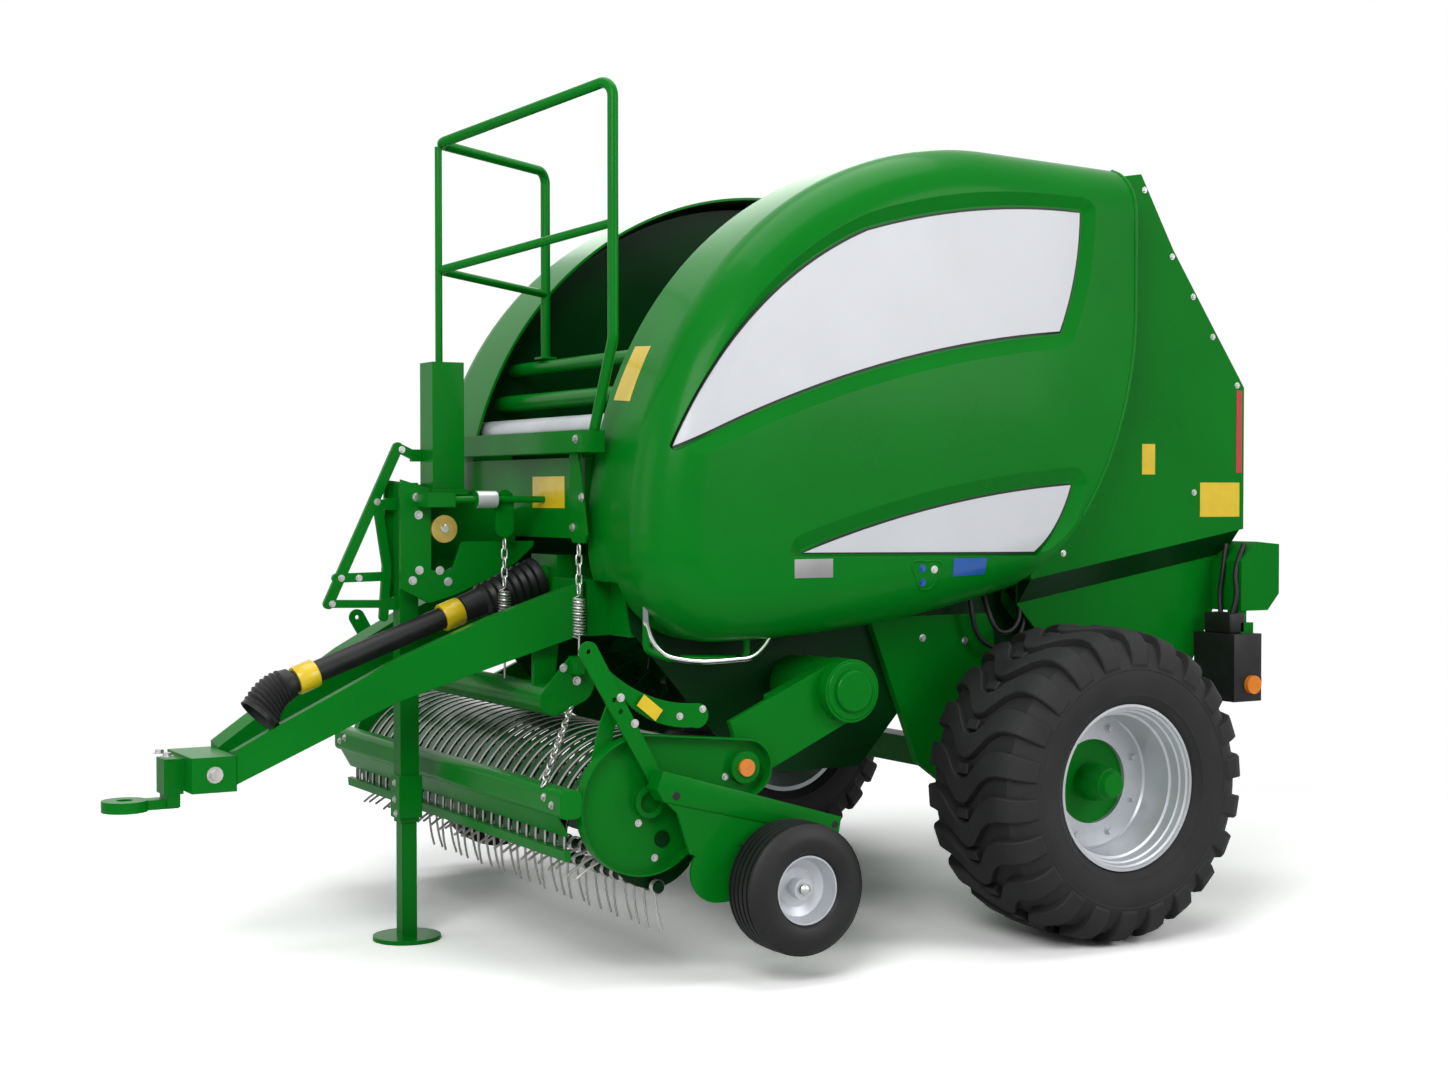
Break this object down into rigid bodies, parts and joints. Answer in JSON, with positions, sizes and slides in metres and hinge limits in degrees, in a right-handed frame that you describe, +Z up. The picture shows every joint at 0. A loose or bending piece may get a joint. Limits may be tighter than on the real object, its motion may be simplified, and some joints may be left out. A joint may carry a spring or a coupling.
{
  "type": "fixed-chamber round baler",
  "caption": "Towed round baler: roller bale chamber under gull-wing side doors, tailgate, tined pickup with gauge wheels, V drawbar, jack and power shaft.",
  "frame": {"origin": "centre of the footprint of the whole machine, on the ground", "axes": "+X forward to the tow eye, +Y to the machine's left, +Z up; the main axle lies along Y at x = -0.9625 m"},
  "size_m": [4.035, 2.602, 2.7514],
  "materials": {
    "green_paint": "gloss",
    "shaded_paint": "satin",
    "door_shell": "gloss",
    "pale_paint": "gloss",
    "black_plastic": "matte",
    "tyre_rubber": "matte",
    "rim_paint": "satin",
    "bright_zinc": "satin",
    "brass": "satin",
    "amber_lens": "gloss"
  },
  "bodies": {
    "root": {"axle": "green_paint", "axle_plates": "green_paint", "chamber_rollers": "shaded_paint", "cross_tubes": "green_paint", "door_hinges": "bright_zinc", "drawbar_beams": "green_paint", "frame_walls": "shaded_paint", "front_beam": "green_paint", "gearbox": "green_paint", "guard_rail": "green_paint", "hitch_block": "green_paint", "hose_holder": "green_paint", "jack_tube": "green_paint", "lift_chains": "bright_zinc", "lift_tube": "green_paint", "mast": "green_paint", "net_box": "green_paint", "pickup_pivots": "green_paint", "platform_beam": "green_paint", "power_shaft": "black_plastic", "rest_lever": "green_paint", "tow_eye": "green_paint", "tower_bracket": "green_paint", "tower_wheel": "brass"},
    "wheel_left": {"tyre_left": "tyre_rubber", "rim_left": "rim_paint", "hub_left": "green_paint"},
    "wheel_right": {"tyre_right": "tyre_rubber", "rim_right": "rim_paint", "hub_right": "green_paint"},
    "tailgate": {"tailgate_sides": "green_paint", "tailgate_skin": "green_paint", "tail_rollers": "shaded_paint", "tail_brackets": "green_paint", "tail_lamps": "amber_lens"},
    "door_left": {"door_left": "door_shell", "door_panels_left": "pale_paint"},
    "door_right": {"door_right": "door_shell", "door_panels_right": "pale_paint"},
    "pickup": {"pickup_arms": "green_paint", "pickup_bands": "bright_zinc", "pickup_guard_beam": "green_paint", "pickup_plates": "green_paint", "pickup_rails": "green_paint", "gauge_arms": "green_paint", "pickup_chain": "bright_zinc", "side_reflectors": "amber_lens"},
    "pickup_reel": {"pickup_reel": "bright_zinc"},
    "gauge_wheel_left": {"gauge_tyre_left": "tyre_rubber", "gauge_rim_left": "rim_paint"},
    "gauge_wheel_right": {"gauge_tyre_right": "tyre_rubber", "gauge_rim_right": "rim_paint"},
    "feed_rotor": {"feed_rotor": "shaded_paint"},
    "jack_leg": {"jack_leg": "green_paint"}
  },
  "joints": [
    {"name": "wheel_left_spin", "type": "hinge", "parent": "root", "child": "wheel_left", "pos_m": [-0.9625, 1.051, 0.52], "axis": [0, 1, 0], "continuous": true},
    {"name": "wheel_right_spin", "type": "hinge", "parent": "root", "child": "wheel_right", "pos_m": [-0.9625, -1.051, 0.52], "axis": [0, 1, 0], "continuous": true},
    {"name": "tailgate_lift", "type": "hinge", "parent": "root", "child": "tailgate", "pos_m": [-1.3275, 0, 2.545], "axis": [0, 1, 0], "range_deg": [0, 70]},
    {"name": "door_left_lift", "type": "hinge", "parent": "root", "child": "door_left", "pos_m": [-0.9425, 0.52, 2.575], "axis": [1, 0, 0], "range_deg": [0, 65]},
    {"name": "door_right_lift", "type": "hinge", "parent": "root", "child": "door_right", "pos_m": [-0.9425, -0.52, 2.575], "axis": [-1, 0, 0], "range_deg": [0, 65]},
    {"name": "pickup_lower", "type": "hinge", "parent": "root", "child": "pickup", "pos_m": [-0.0855, 0, 0.852], "axis": [0, 1, 0], "range_deg": [0, 10]},
    {"name": "pickup_reel_spin", "type": "hinge", "parent": "pickup", "child": "pickup_reel", "pos_m": [0.5775, 0, 0.435], "axis": [0, 1, 0], "continuous": true},
    {"name": "gauge_wheel_left_spin", "type": "hinge", "parent": "pickup", "child": "gauge_wheel_left", "pos_m": [0.2235, 1.131, 0.288], "axis": [0, 1, 0], "continuous": true},
    {"name": "gauge_wheel_right_spin", "type": "hinge", "parent": "pickup", "child": "gauge_wheel_right", "pos_m": [0.2235, -1.131, 0.288], "axis": [0, 1, 0], "continuous": true},
    {"name": "feed_rotor_spin", "type": "hinge", "parent": "root", "child": "feed_rotor", "pos_m": [-0.0855, 0, 0.852], "axis": [0, 1, 0], "continuous": true},
    {"name": "jack_leg_slide", "type": "slide", "parent": "root", "child": "jack_leg", "axis": [0, 0, 1], "range_m": [0, 0.36]}
  ]
}
